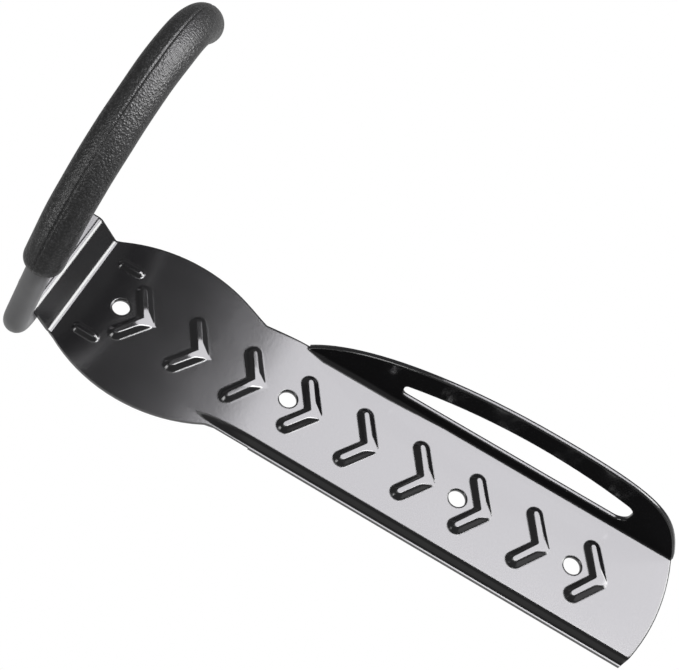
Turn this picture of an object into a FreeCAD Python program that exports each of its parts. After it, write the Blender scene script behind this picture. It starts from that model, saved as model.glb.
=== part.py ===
"""Wall hook that stores a bicycle by one wheel.

Frame: the wall is the plane Y = 0 and the hook stands out toward -Y. +Z points up, to the hook's
end of the plate, and the origin is the centre of the top screw hole on the wall.
Pieces: a stamped sheet back plate, a bent round bar, a soft sleeve on the bar, and two weld beads.
Depths called "out" are measured from the wall toward -Y; "drop" is measured down from the origin.
"""
import FreeCAD, Part
import math
import os
import Sketcher

Vec = FreeCAD.Vector
doc = FreeCAD.newDocument("wheel_hook")

HOLE_STEPS = (0, 3, 6, 8)
CHEVRONS = 9

# Driving sizes in millimetres and degrees, one per row: alias, value or formula, meaning.
SIZES = [
    ("sheet_thick", 2.0, "thickness of the stamped sheet"),
    ("pitch", 28.0, "distance from one chevron to the next; the screw holes follow it"),
    ("hole_dia", 8.0, "screw holes"),
    ("tail_below", 40.8, "lowest point of the tail below the last hole"),
    ("plate_drop", f"={HOLE_STEPS[-1]} * pitch + tail_below", "that point below the top hole"),
    ("tail_radius", 92.0, "arc of the tail's end"),
    ("tail_centre", 2.5, "X of that arc's centre"),
    ("head_half", 38.5, "half width of the head at its widest"),
    ("head_radius", 76.0, "arc of each side of the head"),
    ("head_drop", 20.0, "widest place of the head below the top hole"),
    ("neck_guard_edge", 28.3, "edge of the neck on the guard's side"),
    ("neck_lip_edge", 26.9, "edge of the neck on the lip's side"),
    ("rise", 4.7, "height of the raised body above the head"),
    ("rise_start", 46.0, "drop at which the sheet starts to rise"),
    ("rise_end", 80.0, "drop at which the sheet is at the body's height and the guard starts"),
    ("wall_top", 24.5, "top of the step wall, from the middle"),
    ("wall_foot", 26.3, "foot of the step wall, from the middle"),
    ("lip_edge", 27.4, "outer edge of the lip, from the middle"),
    ("bend_ease", 0.85, "length that each bend of the step wall takes from its straight sides"),
    ("guard_inside", 26.8, "inner face of the guard, from the middle"),
    ("guard_bend", 0.6, "inner bend radius of the guard along the tail"),
    ("guard_foot", 3.2, "wider inner bend radius near the guard's start"),
    ("foot_full", 88.0, "drop at which the wider bend is complete"),
    ("foot_fade", 120.0, "drop at which the wider bend starts to fade"),
    ("foot_end", 150.0, "drop at which it has faded"),
    ("guard_start_out", 7.4, "height of the guard's edge where it starts"),
    ("guard_crest_out", 45.4, "greatest height of the guard"),
    ("guard_crest_above", 76.8, "height of that crest above the tail's lowest point"),
    ("guard_crest_drop", "=plate_drop - guard_crest_above", "drop of that crest"),
    ("guard_end_out", 7.4, "height of the guard's edge at the tail"),
    ("guard_end_above", 2.8, "height of that end above the tail's lowest point"),
    ("guard_end_drop", "=plate_drop - guard_end_above", "drop of that end"),
    ("slot_up", 63.0, "upper end of the guard's slot above the crest"),
    ("slot_down", 47.0, "lower end of the slot below the crest"),
    ("slot_start", "=guard_crest_drop - slot_up", "drop of the slot's upper end"),
    ("slot_end", "=guard_crest_drop + slot_down", "drop of its lower end"),
    ("slot_low_out", 13.0, "straight side of the slot"),
    ("slot_crest_out", 32.6, "greatest height of the slot's curved side"),
    ("slot_radius", 180.0, "arc of that side"),
    ("slot_round_start", 2.5, "corner radius at the slot's upper end"),
    ("slot_round_end", 5.5, "corner radius at the slot's lower end"),
    ("chevron_first", 12.7, "drop of the first chevron's point"),
    ("chevron_reach", 11.9, "half width of a chevron between the centres of its tips"),
    ("chevron_rise", 8.0, "height of those tips above the point"),
    ("chevron_half", 3.8, "half width of a chevron's arm at its foot"),
    ("chevron_top", 0.9, "half width of a chevron's arm on its crest"),
    ("chevron_high", 2.1, "height of a chevron"),
    ("rib_across", 19.3, "place of the two short ribs, from the middle"),
    ("rib_from", 10.4, "upper end of the ribs above the top hole"),
    ("rib_to", 2.6, "lower end of the ribs"),
    ("rib_half", 2.8, "half width of a rib at its foot"),
    ("rib_top", 0.9, "half width of a rib on its crest"),
    ("rib_high", 1.6, "height of a rib"),
    ("tab_half", 27.7, "half width of the joggled tab"),
    ("tab_foot", 19.8, "height at which the tab leaves the head"),
    ("tab_ramp", 9.0, "height that the tab's ramp takes"),
    ("tab_end", 41.0, "upper edge of the tab"),
    ("tab_foot_bend", 4.5, "bend radius where the ramp leaves the head, at the sheet's middle"),
    ("tab_top_bend", 2.5, "bend radius where the ramp meets the flat, at the sheet's middle"),
    ("tab_corner", 4.0, "corner radius of the tab's upper edge on the guard's side"),
    ("tab_corner_bend", 10.0, "corner radius of that edge beside the bar's tight bend"),
    ("rod_dia", 11.0, "bar of the hook"),
    ("rod_high", 32.2, "height of the bar's base above the top hole"),
    ("rod_base_end", 22.0, "end of the bar's base, from the middle"),
    ("rod_fit", 0.05, "gap between bar and tab, and between bar and sleeve"),
    ("rod_bend", 8.0, "tight bend of the bar beside the tab"),
    ("bend_across", 27.8, "centre of the tight bend, from the middle"),
    ("leg_angle", 68.1, "angle of the straight leg to the base"),
    ("leg_straight", 34.0, "straight part of the leg"),
    ("hook_dip", 5.0, "angle by which the hook points down from level"),
    ("arc_radius", 94.5, "wide arc that follows the leg"),
    ("arc_turn", 58.35, "turn of the wide arc"),
    ("tip_radius", 42.0, "tighter arc at the tip"),
    ("tip_turn", 61.4, "turn of the tighter arc"),
    ("sleeve_dia", 18.3, "outside of the sleeve"),
    ("sleeve_start", 38.6, "start of the sleeve, out from the bar's base"),
    ("sleeve_lip", 2.2, "chamfer of the sleeve's open end"),
    ("bead_long", 16.0, "length of each weld bead"),
    ("bead_across", 13.0, "middle of each weld bead, from the middle"),
    ("bead_side", 5.2, "reach of a bead from the tab toward the wall"),
]

sheet = doc.addObject("Spreadsheet::Sheet", "Sizes")
for row, (alias, value, meaning) in enumerate(SIZES, start=1):
    sheet.set(f"A{row}", meaning)
    sheet.set(f"B{row}", str(value))
    sheet.setAlias(f"B{row}", alias)
doc.recompute()


def size(alias):
    """Value of one row of the sheet."""
    return float(sheet.get(alias))


t = size("sheet_thick")
FACE = size("rise") + t


def at(across, out, up):
    """Point from its place across the plate, out from the wall, and up."""
    return Vec(across, -out, up)


def shaped(name, shape):
    """Document object that holds a solid made by the functions below."""
    item = doc.addObject("Part::Feature", name)
    item.Shape = shape
    return item


def line(a, b):
    return Part.LineSegment(a, b).toShape()


def eased(before, corner, after, ease):
    """Arc of a soft bend that takes the same length from both sides of its corner."""
    to_last, to_next = (before - corner).normalize(), (after - corner).normalize()
    first, last = corner + to_last * ease, corner + to_next * ease
    half = to_last.getAngle(to_next) / 2
    if math.degrees(half) > 89.9:
        return line(first, last), first, last
    deep = ease * (1 - math.sin(half)) / math.cos(half)
    middle = corner + (to_last + to_next).normalize() * deep
    return Part.Arc(first, middle, last).toShape(), first, last


def outline(corners):
    """Closed wire through corners given as (point, radius); a radius above 0 rounds its corner."""
    edges, ends = [], []
    count = len(corners)
    for i, (p, radius) in enumerate(corners):
        to_last = (corners[i - 1][0] - p).normalize()
        to_next = (corners[(i + 1) % count][0] - p).normalize()
        if radius <= 0:
            ends.append((p, p, None))
            continue
        half = to_last.getAngle(to_next) / 2
        cut = radius / math.tan(half)
        middle = p + (to_last + to_next).normalize() * (radius / math.sin(half) - radius)
        ends.append((p + to_last * cut, p + to_next * cut, middle))
    for i, (first, last, middle) in enumerate(ends):
        if middle is not None:
            edges.append(Part.Arc(first, middle, last).toShape())
        edges.append(line(last, ends[(i + 1) % count][0]))
    return Part.Wire(Part.__sortEdges__(edges))


# Back plate. The head lies on the wall, the neck lifts the sheet by the rise, and the body keeps
# that height between a step wall with a lip on one side and the guard on the other.

def lift(drop):
    """Height of the sheet's back above the wall: an even S from the head to the body."""
    share = (drop - size("rise_start")) / (size("rise_end") - size("rise_start"))
    share = min(1.0, max(0.0, share))
    return size("rise") * share * share * (3 - 2 * share)


def head_edge(drop):
    """Half width of the head, an arc on each side."""
    away = drop - size("head_drop")
    return size("head_half") - size("head_radius") + math.sqrt(size("head_radius") ** 2 - away ** 2)


def step_side(height, edge, drop):
    """Lip, step wall and start of the face in one cross-section, as back and front point lists."""
    lean = (size("wall_foot") - size("wall_top")) / size("rise")
    slope = math.hypot(1.0, lean)
    shift = t * (slope - lean)
    top, foot = -size("wall_top"), -size("wall_foot")
    back = [at(edge, 0, -drop), at(foot + shift, 0, -drop), at(top + shift, height, -drop)]
    front = [at(edge, t, -drop), at(foot, t, -drop), at(top, height + t, -drop)]
    return back, front


def soft_run(points, ease):
    """Edges through points with an eased bend at each inner point."""
    edges, start = [], points[0]
    for before, corner, after in zip(points, points[1:], points[2:]):
        bend, first, last = eased(before, corner, after, ease)
        edges += [line(start, first), bend]
        start = last
    return edges + [line(start, points[-1])]


def neck_section(drop):
    """Cross-section of the neck: the lip's side stays on the wall while the face rises."""
    height = lift(drop)
    guard_side = max(head_edge(drop), size("neck_guard_edge"))
    lip_side = max(head_edge(drop), size("neck_lip_edge"))
    back, front = step_side(height, -lip_side, drop)
    ease = size("bend_ease")
    lower = soft_run(back + [at(guard_side, height, -drop)], ease)
    upper = soft_run(front + [at(guard_side, height + t, -drop)], ease)
    sides = [line(at(guard_side, height, -drop), at(guard_side, height + t, -drop)),
             line(at(-lip_side, 0, -drop), at(-lip_side, t, -drop))]
    return Part.Wire(Part.__sortEdges__(lower + upper + sides))


def body_section(drop, top):
    """Cross-section of the body with the guard bent up to the height top."""
    back, front = step_side(size("rise"), -size("lip_edge"), drop)
    ease, inner = size("bend_ease"), size("guard_bend")
    inside, outside = size("guard_inside"), size("guard_inside") + t
    outer, slant = inner + t, math.sqrt(0.5)
    in_a, in_b = at(inside - inner, FACE, -drop), at(inside, FACE + inner, -drop)
    in_m = at(inside - inner + inner * slant, FACE + inner - inner * slant, -drop)
    out_a, out_b = at(outside - outer, FACE - t, -drop), at(outside, FACE - t + outer, -drop)
    out_m = at(outside - outer + outer * slant, FACE - t + outer - outer * slant, -drop)
    edges = soft_run(back + [out_a], ease) + soft_run(front + [in_a], ease)
    edges += [Part.Arc(in_a, in_m, in_b).toShape(), Part.Arc(out_a, out_m, out_b).toShape(),
              line(in_b, at(inside, top, -drop)), line(out_b, at(outside, top, -drop)),
              line(at(inside, top, -drop), at(outside, top, -drop)),
              line(at(-size("lip_edge"), 0, -drop), at(-size("lip_edge"), t, -drop))]
    return Part.Wire(Part.__sortEdges__(edges))


def head_blank():
    """Flat head: two side arcs, cut square where the tab and the neck carry on."""
    up, down = size("tab_foot"), -size("rise_start")
    half = size("tab_half")
    top_edge = head_edge(-up + 3.0)
    low = head_edge(size("rise_start"))
    middle = size("head_half")
    edges = [line(at(-half, 0, up), at(half, 0, up)),
             line(at(half, 0, up), at(top_edge, 0, up - 3.0)),
             Part.Arc(at(top_edge, 0, up - 3.0), at(middle, 0, -size("head_drop")), at(low, 0, down)).toShape(),
             line(at(low, 0, down), at(-low, 0, down)),
             Part.Arc(at(-low, 0, down), at(-middle, 0, -size("head_drop")),
                      at(-top_edge, 0, up - 3.0)).toShape(),
             line(at(-top_edge, 0, up - 3.0), at(-half, 0, up))]
    face = Part.Face(Part.Wire(Part.__sortEdges__(edges)))
    return face.extrude(Vec(0, -t, 0))


def tab():
    """Joggled tab, and the free space behind it.

    A ramp lifts the sheet by the bar's thickness, and a flat lies over the bar.
    """
    over = size("rod_dia") + 2 * size("rod_fit")
    foot, ramp, end = size("tab_foot"), size("tab_ramp"), size("tab_end")
    angle = math.atan2(over, ramp)
    shift = t * math.tan(angle / 2)
    low, high = size("tab_foot_bend"), size("tab_top_bend")
    left, start = -size("tab_half"), foot - 5.0
    back = [(at(left, 0, foot + shift / 2), low + t / 2), (at(left, over, foot + ramp + shift / 2), high - t / 2)]
    front = [(at(left, over + t, foot + ramp - shift / 2), high + t / 2), (at(left, t, foot - shift / 2), low - t / 2)]
    wire = outline([(at(left, 0, start), 0)] + back + [(at(left, over, end), 0), (at(left, over + t, end), 0)]
                   + front + [(at(left, t, start), 0)])
    body = Part.Face(wire).extrude(Vec(2 * size("tab_half"), 0, 0))
    behind = outline([(at(left, 0, start), 0)] + back + [(at(left, over, end + 5), 0), (at(left, -5, end + 5), 0),
                                                         (at(left, -5, start), 0)])
    space = Part.Face(behind).extrude(Vec(2 * size("tab_half"), 0, 0))
    half = size("tab_half")
    plan = outline([(at(-half, -1, start), 0), (at(half, -1, start), 0),
                    (at(half, -1, end), size("tab_corner")), (at(-half, -1, end), size("tab_corner_bend"))])
    return body.common(Part.Face(plan).extrude(Vec(0, -over - t - 2, 0))), space


def guard_waste():
    """Solid outside the guard's edge: the edge climbs to a crest and turns down to the tail."""
    start = Vec(0, -size("guard_start_out"), -size("rise_end"))
    crest = Vec(0, -size("guard_crest_out"), -size("guard_crest_drop"))
    end = Vec(0, -size("guard_end_out"), -size("guard_end_drop"))
    climb, fall = Part.BezierCurve(), Part.BezierCurve()
    run = size("guard_crest_drop") - size("rise_end")
    tail = size("guard_end_drop") - size("guard_crest_drop")
    high = size("guard_crest_out") - size("guard_start_out")
    low = size("guard_crest_out") - size("guard_end_out")
    climb.setPoles([start, start + Vec(0, -0.62 * high, -0.18 * run), crest + Vec(0, 0, 0.45 * run), crest])
    fall.setPoles([crest, crest + Vec(0, 0, -0.72 * tail), end + Vec(0, -0.80 * low, 0.17 * tail), end])
    far = size("guard_crest_out") + 10
    above, below = -size("rise_end") + 5, -size("plate_drop") - 10
    rest = Part.makePolygon([end, Vec(0, end.y, below), Vec(0, -far, below), Vec(0, -far, above),
                             Vec(0, start.y, above), start])
    face = Part.Face(Part.Wire([climb.toShape(), fall.toShape()] + rest.Edges))
    face.translate(Vec(size("guard_inside") - 6, 0, 0))
    return face.extrude(Vec(t + 12, 0, 0))


def guard_slot():
    """Slot of the guard: one straight side, one side on a wide arc, rounded corners."""
    low, high, radius = size("slot_low_out"), size("slot_crest_out"), size("slot_radius")
    first, last, crest = size("slot_start"), size("slot_end"), size("guard_crest_drop")

    def arc_out(drop):
        return high - radius + math.sqrt(radius ** 2 - (drop - crest) ** 2)
    x = size("guard_inside") - 3
    points = [at(x, low, -first), at(x, low, -last), at(x, arc_out(last), -last), at(x, arc_out(first), -first)]
    arc = Part.Arc(points[2], at(x, high, -crest), points[3]).toShape()
    wire = Part.Wire([line(points[0], points[1]), line(points[1], points[2]), arc, line(points[3], points[0])])
    block = Part.Face(wire).extrude(Vec(t + 6, 0, 0))
    for drop, rounding in ((first, size("slot_round_start")), (last, size("slot_round_end"))):
        edges = [e for e in block.Edges if len(e.Vertexes) == 2
                 and all(abs(v.Z + drop) < 1e-6 for v in e.Vertexes)
                 and abs(e.Vertexes[0].Y - e.Vertexes[1].Y) < 1e-6]
        block = block.makeFillet(rounding, edges)
    return block


def guard_fillet():
    """Wider bend near the guard's start, which fades toward the tail."""
    inside, plan = size("guard_inside"), []
    small = size("guard_bend")
    stations = ((size("rise_end"), small), (size("foot_full"), size("guard_foot")),
                (size("foot_fade"), size("guard_foot")), (size("foot_end"), small))
    for drop, radius in stations:
        sink = 0.4
        a, b = at(inside - radius, FACE, -drop), at(inside, FACE + radius, -drop)
        middle = at(inside - radius * (1 - math.sqrt(0.5)), FACE + radius * (1 - math.sqrt(0.5)), -drop)
        deep_a, deep_b = at(inside - radius, FACE - sink, -drop), at(inside + sink, FACE + radius, -drop)
        corner = at(inside + sink, FACE - sink, -drop)
        plan.append(Part.Wire([Part.Arc(a, middle, b).toShape(), line(b, deep_b), line(deep_b, corner),
                               line(corner, deep_a), line(deep_a, a)]))
    return Part.makeLoft(plan, True, True)


def pressed(route, foot, top, high):
    """Boss and matching hollow of one pressing along a route drawn on the plane out = 0."""
    def band(half, out):
        if len(route) > 2:
            path = Part.Wire([line(a, b) for a, b in zip(route, route[1:])])
            ring = path.makeOffset2D(half, 0, False, False)
        else:
            upper, lower = route
            side, end = Vec(half, 0, 0), Vec(0, 0, half)
            ring = Part.Wire([
                Part.Arc(upper - side, upper + end, upper + side).toShape(), line(upper + side, lower + side),
                Part.Arc(lower + side, lower - end, lower - side).toShape(), line(lower - side, upper - side)])
        ring.translate(Vec(0, -out, 0))
        return ring
    steps = ((foot + 0.8, -0.4), (foot, 0.0), (foot - (foot - top) * 0.74, high * 0.86), (top, high))
    boss = Part.makeLoft([band(half, out) for half, out in steps], True, True)
    thin = 0.62 * t
    hollow = Part.makeLoft([band(foot - thin + 0.3, -0.5), band(foot - thin, 0.0),
                            band(max(0.25, top - 0.5 * thin), high)], True, True)
    return boss, hollow


def plate():
    """The whole stamping: sheet, pressings, screw holes, guard outline and slot, tail arc."""
    drops = [size("rise_start") + (size("rise_end") - size("rise_start")) * i / 8 for i in range(9)]
    neck = Part.makeLoft([neck_section(d) for d in drops], True, True)
    long = size("plate_drop") + 5 - size("rise_end")
    body = Part.Face(body_section(size("rise_end"), size("guard_crest_out") + 5)).extrude(Vec(0, 0, -long))
    body = body.cut(guard_waste())
    tail = Part.makeBox(200, 200, 60, Vec(-100, -150, -size("plate_drop") - 30))
    round_off = Part.makeCylinder(size("tail_radius"), 220, Vec(
        size("tail_centre"), 60, size("tail_radius") - size("plate_drop")), Vec(0, -1, 0))
    body = body.cut(tail.cut(round_off))
    joggle, space = tab()
    stock = head_blank().cut(space).fuse([neck, body, joggle, guard_fillet()])

    bosses, hollows = [], []
    reach, up = size("chevron_reach"), size("chevron_rise")
    for i in range(CHEVRONS):
        drop = size("chevron_first") + i * size("pitch")
        boss, hollow = pressed([Vec(-reach, 0, up), Vec(0, 0, 0), Vec(reach, 0, up)],
                               size("chevron_half"), size("chevron_top"), size("chevron_high"))
        below = size("chevron_half")
        near, far = lift(drop - up), lift(drop + below)
        tilt = math.degrees(math.atan2(far - near, up + below))
        height = near + (far - near) * up / (up + below)
        for item, out, store in ((boss, t, bosses), (hollow, 0.0, hollows)):
            item.rotate(Vec(0, 0, 0), Vec(1, 0, 0), -tilt)
            item.translate(Vec(0, -height - out, -drop))
            store.append(item)
    for side in (-1, 1):
        x = side * size("rib_across")
        boss, hollow = pressed([Vec(x, 0, size("rib_from")), Vec(x, 0, size("rib_to"))],
                               size("rib_half"), size("rib_top"), size("rib_high"))
        boss.translate(Vec(0, -t, 0))
        bosses.append(boss)
        hollows.append(hollow)
    drills = [Part.makeCylinder(size("hole_dia") / 2, 40, Vec(0, 10, -n * size("pitch")), Vec(0, -1, 0))
              for n in HOLE_STEPS]
    return stock.fuse(bosses).cut(hollows + drills + [guard_slot()]).removeSplitter()


back_plate = shaped("back_plate", plate())
back_plate.Label = "back_plate"


# Bar and sleeve share one route: base, tight bend, straight leg, arc. It lies in a plane through
# the base's axis that dips by hook_dip, so the route is drawn flat and the plane is turned.

def route_plane(body, name):
    sketch = body.newObject("Sketcher::SketchObject", name)
    plane = [f for f in body.Origin.OriginFeatures if f.Role == "XY_Plane"][0]
    sketch.AttachmentSupport = [(plane, "")]
    sketch.MapMode = "FlatFace"
    sketch.setExpression(".AttachmentOffset.Base.y", "-Sizes.rod_dia / 2 - Sizes.rod_fit")
    sketch.setExpression(".AttachmentOffset.Base.z", "Sizes.rod_high")
    sketch.setExpression(".AttachmentOffset.Rotation.Axis.x", "1")
    sketch.setExpression(".AttachmentOffset.Rotation.Axis.y", "0")
    sketch.setExpression(".AttachmentOffset.Rotation.Axis.z", "0")
    sketch.setExpression(".AttachmentOffset.Rotation.Angle", "180 + Sizes.hook_dip")
    return sketch


def bind(sketch, name, constraint, expression):
    """Add a constraint with a name and tie it to the sheet."""
    index = sketch.addConstraint(constraint)
    sketch.renameConstraint(index, name)
    sketch.setExpression(f"Constraints.{name}", expression)


def arc_of(cx, cy, radius, first, last):
    circle = Part.Circle(Vec(cx, cy, 0), Vec(0, 0, 1), radius)
    return Part.ArcOfCircle(circle, math.radians(first), math.radians(last))


def chain(start, heading, *parts):
    """Points and centres of a route of tangent parts that turn clockwise.

    A part is (length, 0) for a straight run or (radius, turn) for an arc, with turns in degrees.
    Returns one (first, last, centre) for each part, and the last heading.
    """
    placed = []
    for extent, turn in parts:
        ahead = math.radians(heading)
        if turn == 0:
            last = start + Vec(math.cos(ahead), math.sin(ahead), 0) * extent
            placed.append((start, last, None))
        else:
            centre = start + Vec(math.sin(ahead), -math.cos(ahead), 0) * extent
            heading -= turn
            after = math.radians(heading)
            last = centre + Vec(-math.sin(after), math.cos(after), 0) * extent
            placed.append((start, last, centre))
        start = last
    return placed, heading


def leg_start():
    """Point of the route where the tight bend ends and the straight leg starts."""
    angle, bend = math.radians(size("leg_angle")), size("rod_bend")
    return Vec(-size("bend_across") - bend * math.sin(angle), bend + bend * math.cos(angle), 0)


def add_arc(sketch, name, centre, heading, turn, radius):
    """Clockwise arc of a route with its radius and its turn tied to the sheet."""
    arc = sketch.addGeometry(arc_of(centre.x, centre.y, radius, 90 + heading - turn, 90 + heading), False)
    bind(sketch, f"{name}_radius", Sketcher.Constraint("Radius", arc, radius), f"Sizes.{name}_radius")
    bind(sketch, f"{name}_turn", Sketcher.Constraint("Angle", arc, math.radians(turn)), f"Sizes.{name}_turn")
    return arc


def hook_arcs(sketch, leg, start):
    """The wide arc and the tip's arc, each tangent to what comes before it."""
    heading, turn = size("leg_angle"), size("arc_turn")
    wide_r, tip_r = size("arc_radius"), size("tip_radius")
    placed, _ = chain(start, heading, (wide_r, turn), (tip_r, size("tip_turn")))
    wide = add_arc(sketch, "arc", placed[0][2], heading, turn, wide_r)
    tip = add_arc(sketch, "tip", placed[1][2], heading - turn, size("tip_turn"), tip_r)
    sketch.addConstraint(Sketcher.Constraint("Tangent", leg, 2, wide, 2))
    sketch.addConstraint(Sketcher.Constraint("Tangent", wide, 1, tip, 2))
    return tip, placed[1][1]


def bar_route(body, name):
    """Whole route of the bar: base, tight bend, straight leg, wide arc, tip's arc."""
    sketch = route_plane(body, name)
    bend, across, angle = size("rod_bend"), size("bend_across"), size("leg_angle")
    first = leg_start()
    placed, _ = chain(first, angle, (size("leg_straight"), 0))
    base = sketch.addGeometry(Part.LineSegment(Vec(size("rod_base_end"), 0, 0), Vec(-across, 0, 0)), False)
    tight = sketch.addGeometry(arc_of(-across, bend, bend, 90 + angle, 270), False)
    leg = sketch.addGeometry(Part.LineSegment(first, placed[0][1]), False)
    sketch.addConstraint(Sketcher.Constraint("PointOnObject", base, 1, -1))
    sketch.addConstraint(Sketcher.Constraint("Horizontal", base))
    sketch.addConstraint(Sketcher.Constraint("Tangent", base, 2, tight, 2))
    sketch.addConstraint(Sketcher.Constraint("Tangent", tight, 1, leg, 1))
    bind(sketch, "base_end", Sketcher.Constraint("DistanceX", -1, 1, base, 1, size("rod_base_end")),
         "Sizes.rod_base_end")
    bind(sketch, "tight_bend", Sketcher.Constraint("Radius", tight, bend), "Sizes.rod_bend")
    bind(sketch, "bend_across", Sketcher.Constraint("DistanceX", tight, 3, -1, 1, across), "Sizes.bend_across")
    bind(sketch, "leg_angle", Sketcher.Constraint("Angle", leg, math.radians(angle)), "Sizes.leg_angle")
    bind(sketch, "leg_straight", Sketcher.Constraint("Distance", leg, size("leg_straight")),
         "Sizes.leg_straight")
    hook_arcs(sketch, leg, placed[0][1])
    return sketch


ARC_START_X = ("-Sizes.bend_across - Sizes.rod_bend * sin(Sizes.leg_angle * 1deg)"
               " + Sizes.leg_straight * cos(Sizes.leg_angle * 1deg)")
ARC_START_Y = ("Sizes.rod_bend + Sizes.rod_bend * cos(Sizes.leg_angle * 1deg)"
               " + Sizes.leg_straight * sin(Sizes.leg_angle * 1deg)")


def sleeve_route(body, name, closed):
    """Part of the bar's route that the sleeve covers; the closed end runs past the bar's end."""
    sketch = route_plane(body, name)
    angle = math.radians(size("leg_angle"))
    end = chain(leg_start(), size("leg_angle"), (size("leg_straight"), 0))[0][0][1]
    start = end - Vec((end.y - size("sleeve_start")) / math.tan(angle), end.y - size("sleeve_start"), 0)
    leg = sketch.addGeometry(Part.LineSegment(start, end), False)
    bind(sketch, "sleeve_start", Sketcher.Constraint("DistanceY", -1, 1, leg, 1, size("sleeve_start")),
         "Sizes.sleeve_start")
    bind(sketch, "leg_angle", Sketcher.Constraint("Angle", leg, angle), "Sizes.leg_angle")
    bind(sketch, "arc_start_x", Sketcher.Constraint("DistanceX", -1, 1, leg, 2, end.x), ARC_START_X)
    bind(sketch, "arc_start_y", Sketcher.Constraint("DistanceY", -1, 1, leg, 2, end.y), ARC_START_Y)
    tip, last = hook_arcs(sketch, leg, end)
    if closed:
        ahead = math.radians(size("leg_angle") - size("arc_turn") - size("tip_turn"))
        reach = Vec(math.cos(ahead), math.sin(ahead), 0) * size("sleeve_dia") / 2
        cap = sketch.addGeometry(Part.LineSegment(last, last + reach), False)
        sketch.addConstraint(Sketcher.Constraint("Tangent", tip, 1, cap, 1))
        bind(sketch, "cap", Sketcher.Constraint("Distance", cap, size("sleeve_dia") / 2), "Sizes.sleeve_dia / 2")
    return sketch


def round_profile(body, name, route, expression, value):
    """Circle across the start of a route."""
    sketch = body.newObject("Sketcher::SketchObject", name)
    sketch.AttachmentSupport = [(route, "Edge1")]
    sketch.MapMode = "NormalToEdge"
    circle = sketch.addGeometry(Part.Circle(Vec(0, 0, 0), Vec(0, 0, 1), value / 2), False)
    sketch.addConstraint(Sketcher.Constraint("Coincident", circle, 3, -1, 1))
    bind(sketch, "width", Sketcher.Constraint("Diameter", circle, value), expression)
    return sketch


def pipe(body, kind, name, profile, route):
    item = body.newObject(kind, name)
    item.Profile = profile
    item.Spine = route
    doc.recompute()
    return item


hook_rod = doc.addObject("PartDesign::Body", "hook_rod")
hook_rod.Label = "hook_rod"
rod_route = bar_route(hook_rod, "rod_route")
doc.recompute()
rod_circle = round_profile(hook_rod, "rod_circle", rod_route, "Sizes.rod_dia", size("rod_dia"))
doc.recompute()
pipe(hook_rod, "PartDesign::AdditivePipe", "rod_bar", rod_circle, rod_route)

foam_sleeve = doc.addObject("PartDesign::Body", "foam_sleeve")
foam_sleeve.Label = "foam_sleeve"
skin_route = sleeve_route(foam_sleeve, "skin_route", True)
bore_route = sleeve_route(foam_sleeve, "bore_route", False)
doc.recompute()
skin_circle = round_profile(foam_sleeve, "skin_circle", skin_route, "Sizes.sleeve_dia", size("sleeve_dia"))
bore_circle = round_profile(foam_sleeve, "bore_circle", bore_route, "Sizes.rod_dia + 2 * Sizes.rod_fit",
                            size("rod_dia") + 2 * size("rod_fit"))
doc.recompute()
skin = pipe(foam_sleeve, "PartDesign::AdditivePipe", "skin", skin_circle, skin_route)


def rim_edge(shape, route, last):
    """Name of the sleeve's rim at one end of its route."""
    points = [v.Point for v in route.Shape.Vertexes]
    goal = max(points, key=lambda p: p.x) if last else min(points, key=lambda p: p.x)
    rims = [(abs(e.Curve.Center.distanceToPoint(goal)), i) for i, e in enumerate(shape.Edges, start=1)
            if isinstance(e.Curve, Part.Circle) and e.isClosed()]
    return f"Edge{min(rims)[1]}"


tip_round = foam_sleeve.newObject("PartDesign::Fillet", "tip_round")
tip_round.Base = (skin, [rim_edge(skin.Shape, skin_route, True)])
tip_round.setExpression("Radius", "Sizes.sleeve_dia / 2 - 0.1")
doc.recompute()
lip_chamfer = foam_sleeve.newObject("PartDesign::Chamfer", "lip_chamfer")
lip_chamfer.Base = (tip_round, [rim_edge(tip_round.Shape, skin_route, False)])
lip_chamfer.setExpression("Size", "Sizes.sleeve_lip")
doc.recompute()
pipe(foam_sleeve, "PartDesign::SubtractivePipe", "bore", bore_circle, bore_route)


# Weld beads: two short runs in the corner between the bar and the tab's upper edge.

def beads():
    over, middle = size("rod_dia") + 2 * size("rod_fit"), size("rod_high")
    runs = []
    for side in (-1, 1):
        left = side * size("bead_across") - size("bead_long") / 2
        corner = [at(left, over, size("tab_end") - 0.8), at(left, over, middle + 1.0),
                  at(left, over - size("bead_side"), middle + size("rod_dia") / 2 + 0.3)]
        face = Part.Face(Part.makePolygon(corner + [corner[0]]))
        runs.append(face.extrude(Vec(size("bead_long"), 0, 0)))
    return Part.makeCompound(runs).cut(hook_rod.Shape)


weld_beads = shaped("weld_beads", beads())
weld_beads.Label = "weld_beads"

doc.recompute()
for item in doc.Objects:
    if "Invalid" in item.State or "Error" in item.State:
        raise RuntimeError(f"{item.Name} failed: {item.State}")

os.makedirs("parts", exist_ok=True)
for item in (back_plate, hook_rod, foam_sleeve, weld_beads):
    shape = item.Shape
    if shape.isNull() or not shape.isValid():
        raise RuntimeError(f"{item.Label} has no valid shape")
    print(item.Label, len(shape.Solids), round(shape.Volume, 1), shape.BoundBox)
    shape.exportStep(f"parts/{item.Label}.step")
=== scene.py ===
"""Looks of a wall hook that stores a bicycle by one wheel.

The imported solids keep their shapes; the soft sleeve is replaced by a modelled one. The sleeve's
sizes are millimetres, as in the part's source, and become metres where its mesh is made. All
other lengths are metres.
"""
import bpy
import math
import numpy as np
from mathutils import Matrix, Vector


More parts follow.
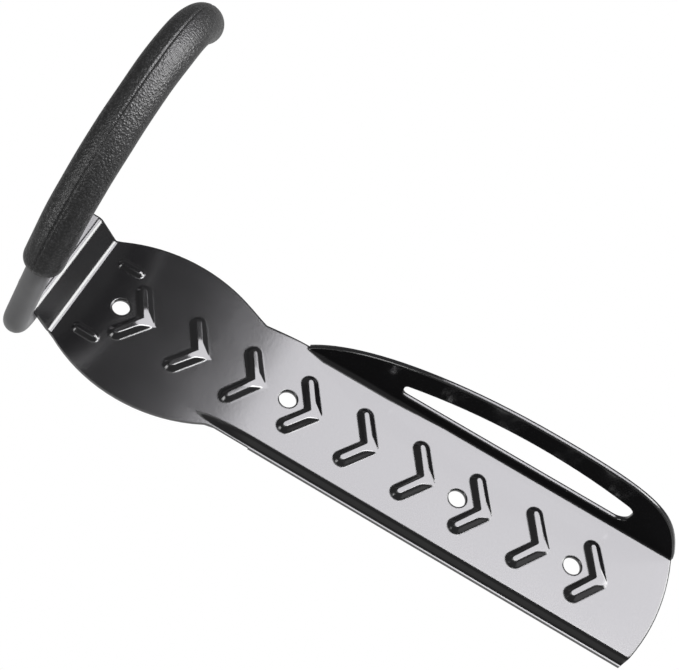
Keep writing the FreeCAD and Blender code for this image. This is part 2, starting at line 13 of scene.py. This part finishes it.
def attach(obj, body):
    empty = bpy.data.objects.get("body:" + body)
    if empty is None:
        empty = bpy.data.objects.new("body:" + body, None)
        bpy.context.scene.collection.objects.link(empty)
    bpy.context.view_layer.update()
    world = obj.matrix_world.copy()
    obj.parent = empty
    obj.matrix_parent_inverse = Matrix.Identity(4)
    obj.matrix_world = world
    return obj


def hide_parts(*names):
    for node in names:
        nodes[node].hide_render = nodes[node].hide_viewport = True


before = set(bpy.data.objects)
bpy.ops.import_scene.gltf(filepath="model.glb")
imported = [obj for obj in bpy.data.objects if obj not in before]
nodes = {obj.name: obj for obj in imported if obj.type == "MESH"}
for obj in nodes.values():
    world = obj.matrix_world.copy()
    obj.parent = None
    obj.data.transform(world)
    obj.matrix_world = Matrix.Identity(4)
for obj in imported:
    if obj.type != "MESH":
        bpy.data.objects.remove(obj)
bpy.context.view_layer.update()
MM = 0.001
FRONT = (0.0, -1.0, 0.0)
WHITE = (1, 1, 1, 1)


# Camera at the photograph's viewing angle: its place, and the directions of its right, up and back.

CAMERA_AT = (-0.293474, -0.561440, -0.109175)
CAMERA_RIGHT = (0.46872, -0.19395, -0.86179)
CAMERA_UP = (0.72573, -0.47164, 0.50087)
CAMERA_BACK = (-0.50360, -0.86019, -0.08031)
SENSOR_WIDE, LENS = 36.0, 76.82
SHIFT_ACROSS, SHIFT_UP = 0.1039, -0.0284
NEAREST, FARTHEST = 0.02, 60.0

camera_data = bpy.data.cameras.new("camera")
camera_data.sensor_width = SENSOR_WIDE
camera_data.lens = LENS
camera_data.shift_x = SHIFT_ACROSS
camera_data.shift_y = SHIFT_UP
camera_data.clip_start = NEAREST
camera_data.clip_end = FARTHEST
camera = bpy.data.objects.new("camera", camera_data)
bpy.context.scene.collection.objects.link(camera)
bpy.context.scene.camera = camera
aim = Matrix((CAMERA_RIGHT, CAMERA_UP, CAMERA_BACK)).transposed().to_4x4()
aim.translation = CAMERA_AT
camera.matrix_world = aim


# Node helpers.

def add(tree, kind, values=None, links=None, **settings):
    """New shader node: settings are its properties, values and links go to inputs by name or number."""
    node = tree.nodes.new(kind)
    for key, value in settings.items():
        setattr(node, key, value)
    for key, value in (values or {}).items():
        node.inputs[key].default_value = value
    for key, source in (links or {}).items():
        tree.links.new(source, node.inputs[key])
    return node


def maths(tree, operation, a, b=0.5, clamp=False):
    """Math node on sockets or numbers; returns its output."""
    node = tree.nodes.new("ShaderNodeMath")
    node.operation = operation
    node.use_clamp = clamp
    for index, item in enumerate((a, b)):
        if isinstance(item, (int, float)):
            node.inputs[index].default_value = item
        else:
            tree.links.new(item, node.inputs[index])
    return node.outputs[0]


def ramp(tree, source, *stops):
    """Colour ramp from (position, grey or colour) stops; returns its colour."""
    node = tree.nodes.new("ShaderNodeValToRGB")
    band = node.color_ramp
    while len(band.elements) < len(stops):
        band.elements.new(0.5)
    for element, (place, tone) in zip(band.elements, stops):
        element.position = place
        element.color = (tone, tone, tone, 1) if isinstance(tone, (int, float)) else (*tone, 1)
    tree.links.new(source, node.inputs[0])
    return node.outputs[0]


def rise_of(tree, value, low, high):
    """Smooth step from 0 at low to 1 at high."""
    return add(tree, "ShaderNodeMapRange", {"From Min": low, "From Max": high}, {"Value": value},
               interpolation_type="SMOOTHSTEP").outputs[0]


def axes_of(tree, vector):
    """The X, Y and Z outputs of a vector."""
    return add(tree, "ShaderNodeSeparateXYZ", None, {0: vector}).outputs


def mixed_normal(tree, share, first, second):
    """Vector mix: first at share 0, second at share 1; each end is a socket or a plain vector."""
    node = add(tree, "ShaderNodeMix", None, {0: share}, data_type="VECTOR")
    for number, end in ((4, first), (5, second)):
        if isinstance(end, tuple):
            node.inputs[number].default_value = end
        else:
            tree.links.new(end, node.inputs[number])
    return node.outputs[1]


def group(name, inputs, outputs, build):
    """Shader node group; build(tree, input sockets) returns its output sockets in order."""
    tree = bpy.data.node_groups.new(name, "ShaderNodeTree")
    for label, kind, value in inputs:
        socket = tree.interface.new_socket(label, in_out="INPUT", socket_type=kind)
        socket.default_value = value
    for label, kind in outputs:
        tree.interface.new_socket(label, in_out="OUTPUT", socket_type=kind)
    entry = tree.nodes.new("NodeGroupInput")
    leave = tree.nodes.new("NodeGroupOutput")
    for index, source in enumerate(build(tree, entry.outputs)):
        tree.links.new(source, leave.inputs[index])
    return tree


def use(tree, made, **values):
    """Place a node group in a material with its own input values."""
    node = tree.nodes.new("ShaderNodeGroup")
    node.node_tree = made
    for key, value in values.items():
        node.inputs[key].default_value = value
    return node


def material(name):
    """New node material; returns it with its tree and its main shader."""
    made = bpy.data.materials.new(name)
    made.use_nodes = True
    tree = made.node_tree
    return made, tree, tree.nodes["Principled BSDF"]


# Coat of the plate and the bar.

def elbow_pads(tree, where):
    """Mask of the rounded pad at each chevron's point, and the pad's lean, which grows with height.

    A place is measured from the point of the nearest chevron, with both arms folded onto one: along
    the arm, and across it toward the top. The pad lies on the arm's lower slope, narrows along the
    arm and ends a few millimetres from the point.
    """
    first_drop, pitch = 0.0127, 0.028
    arm_cos, arm_sin = 0.830, 0.558
    narrowing = 0.42
    outer_none, outer_full = -0.0037, -0.0023
    inner_none, inner_full = 0.0013, 0.0006
    reach_none, reach_full = 0.0080, 0.0015
    rows_low, rows_high = -0.245, 0.0
    lean_low, lean_high = -0.24, 0.0
    lean_at_low, lean_at_high = -0.03, -0.16

    across_x, _, height = axes_of(tree, where)
    side = maths(tree, "ABSOLUTE", across_x)
    turn = maths(tree, "DIVIDE", maths(tree, "ADD", height, first_drop), pitch)
    up = maths(tree, "MULTIPLY", maths(tree, "SUBTRACT", turn, maths(tree, "ROUND", turn)), pitch)
    along = maths(tree, "ADD", maths(tree, "MULTIPLY", side, arm_cos), maths(tree, "MULTIPLY", up, arm_sin))
    across = maths(tree, "SUBTRACT", maths(tree, "MULTIPLY", up, arm_cos),
                   maths(tree, "MULTIPLY", side, arm_sin))
    outer = maths(tree, "SUBTRACT", across, maths(tree, "MULTIPLY", along, narrowing))
    wedge = maths(tree, "MULTIPLY", rise_of(tree, outer, outer_none, outer_full),
                  rise_of(tree, across, inner_none, inner_full))
    near = maths(tree, "MULTIPLY", wedge, rise_of(tree, along, reach_none, reach_full))
    rows = maths(tree, "MULTIPLY", maths(tree, "LESS_THAN", height, rows_high),
                 maths(tree, "GREATER_THAN", height, rows_low))
    lean = add(tree, "ShaderNodeMapRange", {"From Min": lean_low, "From Max": lean_high,
                                            "To Min": lean_at_low, "To Max": lean_at_high},
               {"Value": height}).outputs[0]
    return maths(tree, "MULTIPLY", near, rows), lean


def calmed(tree, where, normal, amount):
    """Normal of the coat where its bends shade more softly than the sheet turns.

    Where it is within about 14 degrees of the front it is drawn toward the front, on faces that
    look forward the chevrons' pads replace it, and above the tab's top bend it leans down a little.
    """
    near_none, near_full = 0.960, 0.976
    front_pull, pad_pull = 0.95, 0.92
    outside_none, outside_full = 0.1, 0.3
    tab_low, tab_high, tab_lean = 0.0288, 0.0300, -0.13

    facing = add(tree, "ShaderNodeVectorMath", {1: FRONT}, {0: normal},
                 operation="DOT_PRODUCT").outputs["Value"]
    near = rise_of(tree, facing, near_none, near_full)
    share = maths(tree, "MULTIPLY", maths(tree, "MULTIPLY", near, amount), front_pull)
    drawn = mixed_normal(tree, share, normal, FRONT)

    outside = rise_of(tree, facing, outside_none, outside_full)
    pad, slope = elbow_pads(tree, where)
    tipped = add(tree, "ShaderNodeCombineXYZ", {"Y": -1.0}, {"Z": slope}).outputs[0]
    pad = maths(tree, "MULTIPLY", maths(tree, "MULTIPLY", pad, outside),
                maths(tree, "MULTIPLY", amount, pad_pull))
    drawn = mixed_normal(tree, pad, drawn, tipped)

    high = maths(tree, "MULTIPLY", axes_of(tree, where)[2], outside)
    above = add(tree, "ShaderNodeMapRange", {"From Min": tab_low, "From Max": tab_high},
                {"Value": high}).outputs[0]
    lean = add(tree, "ShaderNodeVectorMath", {0: (0.0, 0.0, tab_lean)},
               {"Scale": maths(tree, "MULTIPLY", above, amount)}, operation="SCALE").outputs[0]
    total = add(tree, "ShaderNodeVectorMath", None, {0: drawn, 1: lean}, operation="ADD").outputs[0]
    return add(tree, "ShaderNodeVectorMath", None, {0: total}, operation="NORMALIZE").outputs[0]


def build_coat(tree, given):
    """Powder coat: orange-peel height, rounded edges, fine speckle, and a mask of worn edges.

    Edges are rounded by a bevelled normal, except on the thin lip, which would lose its shape.
    The mask is how far the rounded normal turns from the plain one, broken up by the cloud.
    """
    edge_radius, peel_high = 0.0019, 0.00003
    lip_edge = -0.0258
    peel_share, fine_share = 0.7, 0.3
    wear_gain, wear_cloud, wear_least = 5.0, 0.9, 0.1

    where = add(tree, "ShaderNodeTexCoord").outputs["Object"]
    peel = add(tree, "ShaderNodeTexNoise", {"Scale": 620.0, "Detail": 2.0, "Roughness": 0.5},
               {"Vector": where}).outputs[0]
    fine = add(tree, "ShaderNodeTexNoise", {"Scale": 2600.0, "Detail": 1.0}, {"Vector": where}).outputs[0]
    cloud = add(tree, "ShaderNodeTexNoise", {"Scale": 26.0, "Detail": 4.0, "Roughness": 0.62},
                {"Vector": where}).outputs[0]
    height = maths(tree, "ADD", maths(tree, "MULTIPLY", peel, peel_share),
                   maths(tree, "MULTIPLY", fine, fine_share))

    wide = add(tree, "ShaderNodeBevel", {"Radius": edge_radius}, samples=16).outputs[0]
    plain = add(tree, "ShaderNodeNewGeometry").outputs["Normal"]
    lip = maths(tree, "MULTIPLY", maths(tree, "LESS_THAN", axes_of(tree, where)[0], lip_edge), given["Calm"])
    rounded = mixed_normal(tree, lip, wide, plain)
    calm = calmed(tree, where, rounded, given["Calm"])
    bump = add(tree, "ShaderNodeBump", {"Distance": peel_high},
               {"Height": height, "Normal": calm, "Strength": given["Grain"]}).outputs[0]

    turn = add(tree, "ShaderNodeVectorMath", None, {0: rounded, 1: plain}, operation="DOT_PRODUCT")
    edge = maths(tree, "SUBTRACT", 1.0, turn.outputs["Value"], clamp=True)
    broken = maths(tree, "ADD", maths(tree, "MULTIPLY", cloud, wear_cloud), wear_least)
    worn = maths(tree, "MULTIPLY", maths(tree, "MULTIPLY", edge, wear_gain, clamp=True), broken, clamp=True)
    return bump, worn, cloud, fine


coat_effect = group("coat_effect", [("Grain", "NodeSocketFloat", 0.4), ("Calm", "NodeSocketFloat", 0.0)],
                    [("Normal", "NodeSocketVector"), ("Worn", "NodeSocketFloat"),
                     ("Cloud", "NodeSocketFloat"), ("Speckle", "NodeSocketFloat")], build_coat)


def coated(name, dark, light, rough_low, rough_high, grain, ior, calm):
    """Coat: dark body colour that drifts a little, lighter worn edges, and drifting roughness."""
    drift, wear_share, speck_share = 1.35, 0.5, 0.04
    made, tree, shader = material(name)
    shader.inputs["IOR"].default_value = ior
    effect = use(tree, coat_effect, Grain=grain, Calm=calm)
    tone = ramp(tree, effect.outputs["Cloud"], (0.3, dark), (0.7, tuple(c * drift for c in dark)))
    wear = maths(tree, "MULTIPLY", effect.outputs["Worn"], wear_share)
    mixed = add(tree, "ShaderNodeMix", {7: (*light, 1)}, {0: wear, 6: tone}, data_type="RGBA")
    tree.links.new(mixed.outputs[2], shader.inputs["Base Color"])
    span = maths(tree, "MULTIPLY", effect.outputs["Cloud"], rough_high - rough_low)
    rough = maths(tree, "ADD", span, rough_low)
    speck = maths(tree, "MULTIPLY", effect.outputs["Speckle"], speck_share)
    tree.links.new(maths(tree, "ADD", rough, speck), shader.inputs["Roughness"])
    tree.links.new(effect.outputs["Normal"], shader.inputs["Normal"])
    return made


plate_coat = coated("plate_coat", dark=(0.0060, 0.0058, 0.0064), light=(0.035, 0.035, 0.037),
                    rough_low=0.09, rough_high=0.14, grain=0.30, ior=1.90, calm=1.0)
rod_coat = coated("rod_coat", dark=(0.170, 0.170, 0.173), light=(0.24, 0.24, 0.24),
                  rough_low=0.34, rough_high=0.42, grain=0.6, ior=1.60, calm=0.0)


def weld_coat():
    """Coated weld metal: overlapping ripples along the bead, small spatter grains."""
    made, tree, shader = material("weld_coat")
    where = add(tree, "ShaderNodeTexCoord").outputs["Object"]
    ripple = add(tree, "ShaderNodeTexWave", {"Scale": 190.0, "Distortion": 2.2, "Detail": 2.0},
                 {"Vector": where}, wave_type="BANDS", bands_direction="X").outputs[1]
    grains = add(tree, "ShaderNodeTexNoise", {"Scale": 1500.0, "Detail": 2.0}, {"Vector": where}).outputs[0]
    height = maths(tree, "ADD", ripple, maths(tree, "MULTIPLY", grains, 0.25))
    bump = add(tree, "ShaderNodeBump", {"Strength": 0.9, "Distance": 0.0004}, {"Height": height}).outputs[0]
    tree.links.new(ramp(tree, ripple, (0.2, 0.010), (0.9, 0.022)), shader.inputs["Base Color"])
    tree.links.new(ramp(tree, grains, (0.3, 0.30), (0.7, 0.46)), shader.inputs["Roughness"])
    tree.links.new(bump, shader.inputs["Normal"])
    return made


def smooth_bends(limit):
    """Shading of a packed sheet or bar: bends blend, corners sharper than the limit stay crisp."""
    same_place = 0.000002
    tree = bpy.data.node_groups.new("smooth_bends", "GeometryNodeTree")
    tree.interface.new_socket("Geometry", in_out="INPUT", socket_type="NodeSocketGeometry")
    tree.interface.new_socket("Geometry", in_out="OUTPUT", socket_type="NodeSocketGeometry")
    entry, leave = add(tree, "NodeGroupInput"), add(tree, "NodeGroupOutput")
    joined = add(tree, "GeometryNodeMergeByDistance", {"Distance": same_place},
                 {"Geometry": entry.outputs[0]})
    soft = add(tree, "GeometryNodeSetShadeSmooth", {"Shade Smooth": True}, {"Geometry": joined.outputs[0]},
               domain="FACE")
    angle = add(tree, "GeometryNodeInputMeshEdgeAngle").outputs[0]
    sharp = maths(tree, "GREATER_THAN", angle, math.radians(limit))
    crisp = add(tree, "GeometryNodeSetShadeSmooth", {"Shade Smooth": False},
                {"Geometry": soft.outputs[0], "Selection": sharp}, domain="EDGE")
    tree.links.new(crisp.outputs[0], leave.inputs[0])
    return tree


CRISP_ABOVE = 24.0
bends = smooth_bends(CRISP_ABOVE)


def dress(name, made):
    """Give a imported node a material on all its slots, and shade its bends smoothly."""
    item = nodes[name]
    if not item.material_slots:
        item.data.materials.append(made)
    for slot in item.material_slots:
        slot.material = made
    item.modifiers.new("bends", "NODES").node_group = bends
    item.modifiers.new("weigh", "WEIGHTED_NORMAL").keep_sharp = True


dress("back_plate", plate_coat)
dress("hook_rod", rod_coat)
dress("weld_beads", weld_coat())


# Sleeve. The route is the bar's, with the sizes of the part's source, in millimetres.

BAR_OUT, BAR_HIGH, DIP = 5.55, 32.2, math.radians(5.0)
BEND, BEND_ACROSS = 8.0, 27.8
LEG_ANGLE, LEG = math.radians(68.1), 34.0
ARC, ARC_TURN = 94.5, math.radians(58.35)
TIP, TIP_TURN = 42.0, math.radians(61.4)
BAR_END = LEG + ARC * ARC_TURN + TIP * TIP_TURN
PAST_BAR = 50.0
START, RADIUS, BORE = 38.6, 9.15, 5.55
MOUTH = (START - (BEND + BEND * math.cos(LEG_ANGLE))) / math.sin(LEG_ANGLE)
SEAM_AT = math.radians(-4.5)
AROUND = 180


def route(run):
    """Points and headings along the bar at distances run from the leg's foot.

    A straight leg, a wide arc and a tighter arc follow each other, all turning one way; past the
    last arc the line runs straight on.
    """
    foot = np.array([-BEND_ACROSS - BEND * math.sin(LEG_ANGLE), BEND + BEND * math.cos(LEG_ANGLE)])
    place, angle = np.zeros((len(run), 2)), np.zeros(len(run))
    start, heading, done = foot, LEG_ANGLE, 0.0
    for length, radius in ((LEG, 0), (ARC * ARC_TURN, ARC), (TIP * TIP_TURN, TIP), (PAST_BAR, 0)):
        part = np.clip(run - done, 0, length)
        inside = run >= done
        if radius:
            turn = heading - part / radius
            centre = start + radius * np.array([math.sin(heading), -math.cos(heading)])
            point = centre + radius * np.stack([-np.sin(turn), np.cos(turn)], -1)
            last = heading - length / radius
            end = centre + radius * np.array([-math.sin(last), math.cos(last)])
        else:
            turn = np.full(len(run), heading)
            ahead = np.array([math.cos(heading), math.sin(heading)])
            point = start + part[:, None] * ahead
            last, end = heading, start + length * ahead
        place[inside], angle[inside] = point[inside], turn[inside]
        start, heading, done = end, last, done + length
    return place, angle


def closed_mesh(name, rings):
    """Closed smooth mesh from an array of rings of points, in millimetres.

    The first and the last ring count as single points. Four-sided faces join each ring between
    them to the next, and triangles join the outermost rings to the single points.
    """
    middle = rings[1:-1]
    count, around = middle.shape[:2]
    points = np.concatenate([rings[:1, 0], middle.reshape(-1, 3), rings[-1:, 0]])
    grid = 1 + np.arange(count * around).reshape(count, around)
    after = np.roll(grid, -1, axis=1)
    first_fan = np.stack([np.zeros_like(grid[0]), after[0], grid[0]], -1)
    walls = np.stack([grid[:-1], after[:-1], after[1:], grid[1:]], -1).reshape(-1, 4)
    last_fan = np.stack([grid[-1], after[-1], np.full_like(grid[-1], len(points) - 1)], -1)
    mesh = bpy.data.meshes.new(name)
    mesh.from_pydata((points * MM).tolist(), [], first_fan.tolist() + walls.tolist() + last_fan.tolist())
    mesh.validate()
    mesh.polygons.foreach_set("use_smooth", np.ones(len(mesh.polygons), dtype=bool))
    mesh.update()
    item = bpy.data.objects.new(name, mesh)
    bpy.context.scene.collection.objects.link(item)
    return item


def waves(run, angle, seed, longest, count):
    """Smooth random height: a seeded sum of sines along the run and around it, within about -1 to 1."""
    chance = np.random.default_rng(seed)
    total = np.zeros(np.broadcast(run, angle).shape)
    for _ in range(count):
        along = 2 * math.pi / (longest * chance.uniform(0.35, 1.0))
        total = total + np.sin(along * run + chance.integers(0, 4) * angle + chance.uniform(0, 6.3))
    return total / math.sqrt(count) / 1.4


def bore_profile():
    """Distances along the bar and radii of the bore, from its blind end to the rounded mouth."""
    blind = BAR_END + 0.3
    runs = np.concatenate([[blind] * 3, np.linspace(BAR_END - 1, MOUTH + 1.0, 150),
                           MOUTH + np.array([0.5, 0.12, 0.0])])
    radii = np.concatenate([[0.0, BORE * 0.6], np.full(151, BORE), BORE + np.array([0.05, 0.25, 0.7])])
    return runs, radii


def skin_profile():
    """Distances along the bar and radii of the outer skin, from the lip to the dome's top.

    The lip is a quarter ellipse, the tube a straight line, and the dome a quarter ellipse that
    closes on the axis. Both ends of the tube are then eased to slightly smaller radii.
    """
    lip_long, lip_deep, dome_high = 4.6, 2.7, RADIUS * 0.97
    low_less, low_reach = 0.030, 14.0
    tip_less, tip_back, tip_reach = 0.042, 16.0, 6.0

    lip = np.linspace(0, 1, 16) * math.pi / 2
    dome = np.linspace(0, 1, 30)[1:] * math.pi / 2
    tube_runs = np.linspace(MOUTH + lip_long + 0.5, BAR_END, 270)
    runs = np.concatenate([MOUTH + 0.02 + lip_long * (1 - np.cos(lip)), tube_runs,
                           BAR_END + dome_high * np.sin(dome)])
    radii = np.concatenate([RADIUS - lip_deep * (1 - np.sin(lip)), np.full(len(tube_runs), RADIUS),
                            RADIUS * np.cos(dome)])
    low_end = 1 - low_less * np.exp(-((runs - MOUTH) / low_reach) ** 2)
    near_tip = 1 / (1 + np.exp(-(runs - (BAR_END - tip_back)) / tip_reach))
    return runs, radii * low_end * (1 - tip_less * near_tip)


def skin_relief(runs, radii, angle):
    """Height on the outer skin: low random waves and the shallow groove where the mould closed.

    The groove is a narrow bell curve cut at the seam, with a small raised bell curve beside it.
    Both fade with the square of the radius, so that the dome closes smoothly.
    """
    wave_high, groove_deep, groove_wide = 0.10, 0.30, 0.34
    ridge_high, ridge_off, ridge_wide = 0.07, 1.0, 0.5
    closed = 1e-6
    off = np.abs((angle - SEAM_AT + math.pi) % (2 * math.pi) - math.pi) * radii[:, None]
    fade = np.where(radii > closed, np.minimum(1.0, radii / RADIUS) ** 2, 0.0)
    relief = (wave_high * waves(runs[:, None], angle, 5, 60.0, 6)
              - groove_deep * np.exp(-(off / groove_wide) ** 2)
              + ridge_high * np.exp(-((off - ridge_off) / ridge_wide) ** 2))
    return fade[:, None] * relief


def sleeve():
    """Soft tube with a closed, domed end, as one surface of the bore and the outer skin.

    Each point is the place on the bar's route at distance run, plus the radius times the unit
    vector at angle in the plane across the route. The angles crowd together near the seam.
    """
    crowding = 0.80
    share = np.arange(AROUND) / AROUND
    angle = SEAM_AT + 2 * math.pi * share - crowding * np.sin(2 * math.pi * share)
    bore_runs, bore_radii = bore_profile()
    skin_runs, skin_radii = skin_profile()
    runs = np.concatenate([bore_runs, skin_runs])
    grow = np.concatenate([np.repeat(bore_radii[:, None], AROUND, axis=1),
                           skin_radii[:, None] + skin_relief(skin_runs, skin_radii, angle)])
    (u, v), turn = route(runs)[0].T, route(runs)[1]
    side = np.stack([-np.sin(turn), -np.cos(turn) * math.cos(DIP), -np.cos(turn) * math.sin(DIP)], -1)
    down = np.array([0.0, math.sin(DIP), -math.cos(DIP)])
    middle = np.stack([u, -BAR_OUT - v * math.cos(DIP), BAR_HIGH - v * math.sin(DIP)], -1)
    outward = np.cos(angle)[:, None] * side[:, None] + np.sin(angle)[:, None] * down
    return closed_mesh("sleeve", middle[:, None] + grow[..., None] * outward)


def foam():
    """Moulded foam skin: pebbled grain rubbed smoother at the ends; its colour holds painted shade in the
    pits and a painted highlight on the crowns.
    """
    grain_strength, grain_high = 0.80, 0.00034
    rubbed_share = 0.35
    mouth_rubbed, mouth_full = -0.040, -0.074
    tip_rubbed, tip_full = 0.095, 0.080

    made, tree, shader = material("sleeve_skin")
    where = add(tree, "ShaderNodeTexCoord").outputs["Object"]
    bend = add(tree, "ShaderNodeTexNoise", {"Scale": 700.0, "Detail": 2.0}, {"Vector": where}).outputs[1]
    moved = add(tree, "ShaderNodeMix", {0: 0.0012}, {6: where, 7: bend}, data_type="RGBA", blend_type="ADD")
    pebble = add(tree, "ShaderNodeTexVoronoi", {"Scale": 1050.0, "Randomness": 1.0},
                 {"Vector": moved.outputs[2]}, feature="F1").outputs["Distance"]
    crown = ramp(tree, pebble, (0.10, 1.0), (0.75, 0.0))
    coarse = add(tree, "ShaderNodeTexNoise", {"Scale": 420.0, "Detail": 3.0, "Roughness": 0.6},
                 {"Vector": where}).outputs[0]
    cloud = add(tree, "ShaderNodeTexNoise", {"Scale": 40.0, "Detail": 3.0}, {"Vector": where}).outputs[0]

    height = maths(tree, "ADD", maths(tree, "MULTIPLY", crown, 0.6), maths(tree, "MULTIPLY", coarse, 0.7))
    place = axes_of(tree, where)
    unrubbed = maths(tree, "MULTIPLY", rise_of(tree, place[1], mouth_rubbed, mouth_full),
                     rise_of(tree, place[0], tip_rubbed, tip_full))
    kept = maths(tree, "ADD", maths(tree, "MULTIPLY", unrubbed, 1 - rubbed_share), rubbed_share)
    height = maths(tree, "MULTIPLY", height, kept)
    bump = add(tree, "ShaderNodeBump", {"Strength": grain_strength, "Distance": grain_high},
               {"Height": height}).outputs[0]

    # Painted shade and painted highlight: the base colour follows the grain's height, darkest in the pits
    # and lightest on the crowns.
    grain = maths(tree, "ADD", maths(tree, "MULTIPLY", crown, 0.45), maths(tree, "MULTIPLY", coarse, 0.55))
    tone = ramp(tree, grain, (0.25, (0.006, 0.006, 0.006)), (0.55, (0.020, 0.020, 0.0205)),
                (0.85, (0.066, 0.066, 0.067)))
    patches = ramp(tree, cloud, (0.3, 0.55), (0.7, 1.0))
    drift = add(tree, "ShaderNodeMix", {0: 0.35}, {6: tone, 7: patches}, data_type="RGBA",
                blend_type="MULTIPLY")
    tree.links.new(drift.outputs[2], shader.inputs["Base Color"])
    tree.links.new(ramp(tree, grain, (0.2, 0.48), (0.8, 0.31)), shader.inputs["Roughness"])
    tree.links.new(bump, shader.inputs["Normal"])
    shader.inputs["Specular IOR Level"].default_value = 0.9
    return made


tube = sleeve()
tube.data.materials.append(foam())
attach(tube, "root")
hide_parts("foam_sleeve")


# Lights: one large softbox for the body and smaller ones for the rest.

def panel(name, place, target, width, height, radiance, tint=(1, 1, 1)):
    """Rectangular area light of a given radiance that faces a target."""
    light = bpy.data.lights.new(name, "AREA")
    light.shape = "RECTANGLE"
    light.size, light.size_y = width, height
    light.energy = radiance * math.pi * width * height
    light.color = tint
    item = bpy.data.objects.new(name, light)
    item.location = place
    item.rotation_mode = "QUATERNION"
    item.rotation_quaternion = (Vector(target) - Vector(place)).to_track_quat("-Z", "Y")
    item.visible_camera = False
    bpy.context.scene.collection.objects.link(item)
    return item


BODY_MIDDLE = (0.0, 0.0, -0.13)
body_box = panel("body_box", place=(0.60, -1.12, -0.330), target=BODY_MIDDLE, width=0.64, height=0.77,
                 radiance=6.15, tint=(0.972, 0.957, 1.0))
panel("low_box", place=(0.44, -0.50, -0.74), target=BODY_MIDDLE, width=0.44, height=0.52, radiance=9.0)
panel("hook_box", place=(0.20, -0.98, -0.42), target=(0.02, -0.08, 0.08), width=0.30, height=0.34,
      radiance=12.0)
panel("front_box", place=(-0.08, -1.50, 0.12), target=BODY_MIDDLE, width=0.70, height=1.00, radiance=0.9)
panel("left_box", place=(-0.92, -0.55, 0.72), target=(-0.02, -0.05, 0.02), width=0.6, height=0.6,
      radiance=4.0)

# The guard and the sleeve keep no light of the large box from the sheet's faces behind them.
clear = bpy.data.collections.new("clear_of_body_box")
for item in (nodes["back_plate"], nodes["hook_rod"], tube):
    clear.objects.link(item)
for entry in clear.collection_objects:
    entry.light_linking.link_state = "EXCLUDE"
body_box.light_linking.blocker_collection = clear


# Floor: a pale square below the object, nearly white where the camera sees it.

FLOOR_HALF, FLOOR_LEVEL, FLOOR_WHITE = 0.65, -1.30, 0.93
floor_mesh = bpy.data.meshes.new("floor")
floor_mesh.from_pydata([(x * FLOOR_HALF, y * FLOOR_HALF, FLOOR_LEVEL)
                        for x, y in ((-1, -1), (1, -1), (1, 1), (-1, 1))], [], [(0, 1, 2, 3)])
floor = bpy.data.objects.new("floor", floor_mesh)
bpy.context.scene.collection.objects.link(floor)
floor_look, floor_tree, floor_shader = material("floor_look")
paper = add(floor_tree, "ShaderNodeTexNoise", {"Scale": 9.0, "Detail": 3.0}).outputs[0]
floor_tree.links.new(ramp(floor_tree, paper, (0.3, 0.80), (0.7, 0.84)), floor_shader.inputs["Base Color"])
floor_shader.inputs["Roughness"].default_value = 0.9
glow = add(floor_tree, "ShaderNodeEmission", {"Color": WHITE, "Strength": 1.0})
seen_by_camera = add(floor_tree, "ShaderNodeLightPath").outputs["Is Camera Ray"]
pale_share = maths(floor_tree, "MULTIPLY", seen_by_camera, FLOOR_WHITE)
floor_blend = add(floor_tree, "ShaderNodeMixShader", None,
                  {0: pale_share, 1: floor_shader.outputs[0], 2: glow.outputs[0]})
floor_tree.links.new(floor_blend.outputs[0], floor_tree.nodes["Material Output"].inputs["Surface"])
floor_mesh.materials.append(floor_look)


# World: white to the camera, and a dark room, lighter behind the object, to everything else.

GLOSSY_WHITE = 0.04
world = bpy.data.worlds.new("surround")
bpy.context.scene.world = world
world.use_nodes = True
sky = world.node_tree
sky.nodes.clear()
seen = add(sky, "ShaderNodeBackground", {"Color": WHITE, "Strength": 1.0})
toward = axes_of(sky, add(sky, "ShaderNodeTexCoord").outputs["Generated"])
behind = add(sky, "ShaderNodeMapRange", {"From Min": 0.15, "From Max": 0.8, "To Min": 0.10, "To Max": 0.60},
             {"Value": toward[1]}, interpolation_type="SMOOTHSTEP").outputs[0]
lit = add(sky, "ShaderNodeBackground", {"Color": WHITE}, {"Strength": behind})
ray = add(sky, "ShaderNodeLightPath")
through = maths(sky, "MAXIMUM", ray.outputs["Is Camera Ray"], ray.outputs["Is Transmission Ray"])
pale = maths(sky, "MAXIMUM", through, maths(sky, "MULTIPLY", ray.outputs["Is Glossy Ray"], GLOSSY_WHITE))
blend = add(sky, "ShaderNodeMixShader", None, {0: pale, 1: lit.outputs[0], 2: seen.outputs[0]})
leave = add(sky, "ShaderNodeOutputWorld", None, {0: blend.outputs[0]})
bpy.context.scene.view_settings.view_transform = "Standard"
